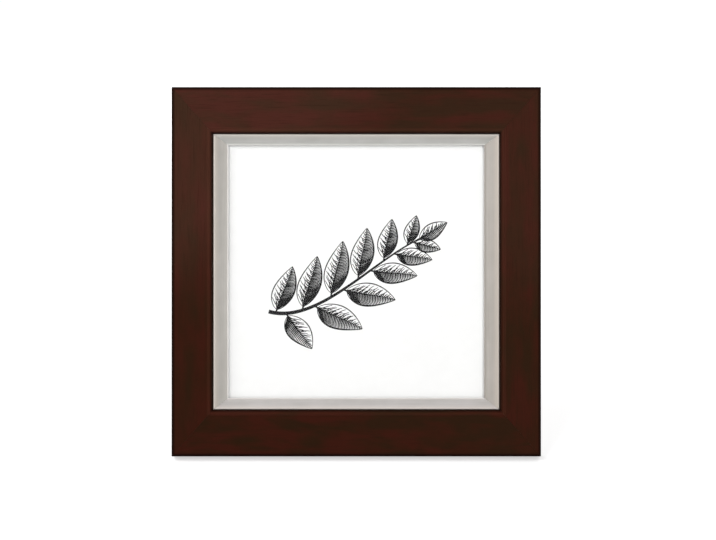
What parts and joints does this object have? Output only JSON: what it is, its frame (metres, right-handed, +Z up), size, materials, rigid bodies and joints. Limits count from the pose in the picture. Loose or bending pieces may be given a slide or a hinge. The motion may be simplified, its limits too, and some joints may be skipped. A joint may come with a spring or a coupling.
{
  "type": "photo frame",
  "caption": "Square leaning photo frame with a mitred dark moulding, a bevelled silver inner slip, a glazed print, turn buttons, a hinged easel strut and a hanging ring.",
  "frame": {"origin": "on the surface that the frame stands on, in the middle of its footprint", "axes": "+X to the right as the print is looked at, +Y from the print to the strut, +Z up"},
  "size_m": [0.277, 0.1116, 0.2717],
  "materials": {
    "brown_plastic": "satin foil, dark mahogany streaks",
    "silver_plastic": "satin warm silver foil",
    "clear_glass": "clear",
    "white_paper": "smooth matt print paper",
    "grey_card": "plain grey board",
    "fibreboard": "smooth hardboard",
    "zinc_plate": "zinc plated sheet",
    "bright_steel": "bright plated"
  },
  "bodies": {
    "frame": {"bottom_rail": "brown_plastic", "top_rail": "brown_plastic", "left_rail": "brown_plastic", "right_rail": "brown_plastic", "bottom_slip": "silver_plastic", "top_slip": "silver_plastic", "left_slip": "silver_plastic", "right_slip": "silver_plastic", "bottom_left_nail_1": "bright_steel", "bottom_left_nail_2": "bright_steel", "bottom_right_nail_1": "bright_steel", "bottom_right_nail_2": "bright_steel", "top_left_nail_1": "bright_steel", "top_left_nail_2": "bright_steel", "top_right_nail_1": "bright_steel", "top_right_nail_2": "bright_steel", "glazing": "clear_glass", "print": "white_paper", "filler_card": "grey_card", "backing_board": "fibreboard", "upper_left_screw": "bright_steel", "lower_left_screw": "bright_steel", "upper_right_screw": "bright_steel", "lower_right_screw": "bright_steel", "hinge_fixed_leaf": "zinc_plate", "hinge_pin": "bright_steel", "left_board_rivet": "bright_steel", "right_board_rivet": "bright_steel", "hanger_strap": "zinc_plate", "hanger_rivet": "bright_steel"},
    "strut": {"strut": "fibreboard", "hinge_moving_leaf": "zinc_plate", "left_strut_rivet": "bright_steel", "right_strut_rivet": "bright_steel"},
    "hanging_ring": {"hanging_ring": "bright_steel"},
    "upper_left_turn_button": {"upper_left_turn_button": "zinc_plate"},
    "lower_left_turn_button": {"lower_left_turn_button": "zinc_plate"},
    "upper_right_turn_button": {"upper_right_turn_button": "zinc_plate"},
    "lower_right_turn_button": {"lower_right_turn_button": "zinc_plate"}
  },
  "joints": [
    {"name": "strut_hinge", "type": "hinge", "parent": "frame", "child": "strut", "pos_m": [0, 0.01271, 0.18275], "axis": [1, 0, 0], "range_deg": [-28, 0]},
    {"name": "ring_swing", "type": "hinge", "parent": "frame", "child": "hanging_ring", "pos_m": [0, 0.02228, 0.22056], "axis": [1, 0, 0], "range_deg": [-18, 165]},
    {"name": "upper_left_button_turn", "type": "hinge", "parent": "frame", "child": "upper_left_turn_button", "pos_m": [-0.1195, 0.01414, 0.19117], "axis": [0, 0.9659, -0.2588], "continuous": true},
    {"name": "lower_left_button_turn", "type": "hinge", "parent": "frame", "child": "lower_left_turn_button", "pos_m": [-0.1195, -0.01692, 0.07526], "axis": [0, 0.9659, -0.2588], "continuous": true},
    {"name": "upper_right_button_turn", "type": "hinge", "parent": "frame", "child": "upper_right_turn_button", "pos_m": [0.1195, 0.01414, 0.19117], "axis": [0, 0.9659, -0.2588], "continuous": true},
    {"name": "lower_right_button_turn", "type": "hinge", "parent": "frame", "child": "lower_right_turn_button", "pos_m": [0.1195, -0.01692, 0.07526], "axis": [0, 0.9659, -0.2588], "continuous": true}
  ]
}
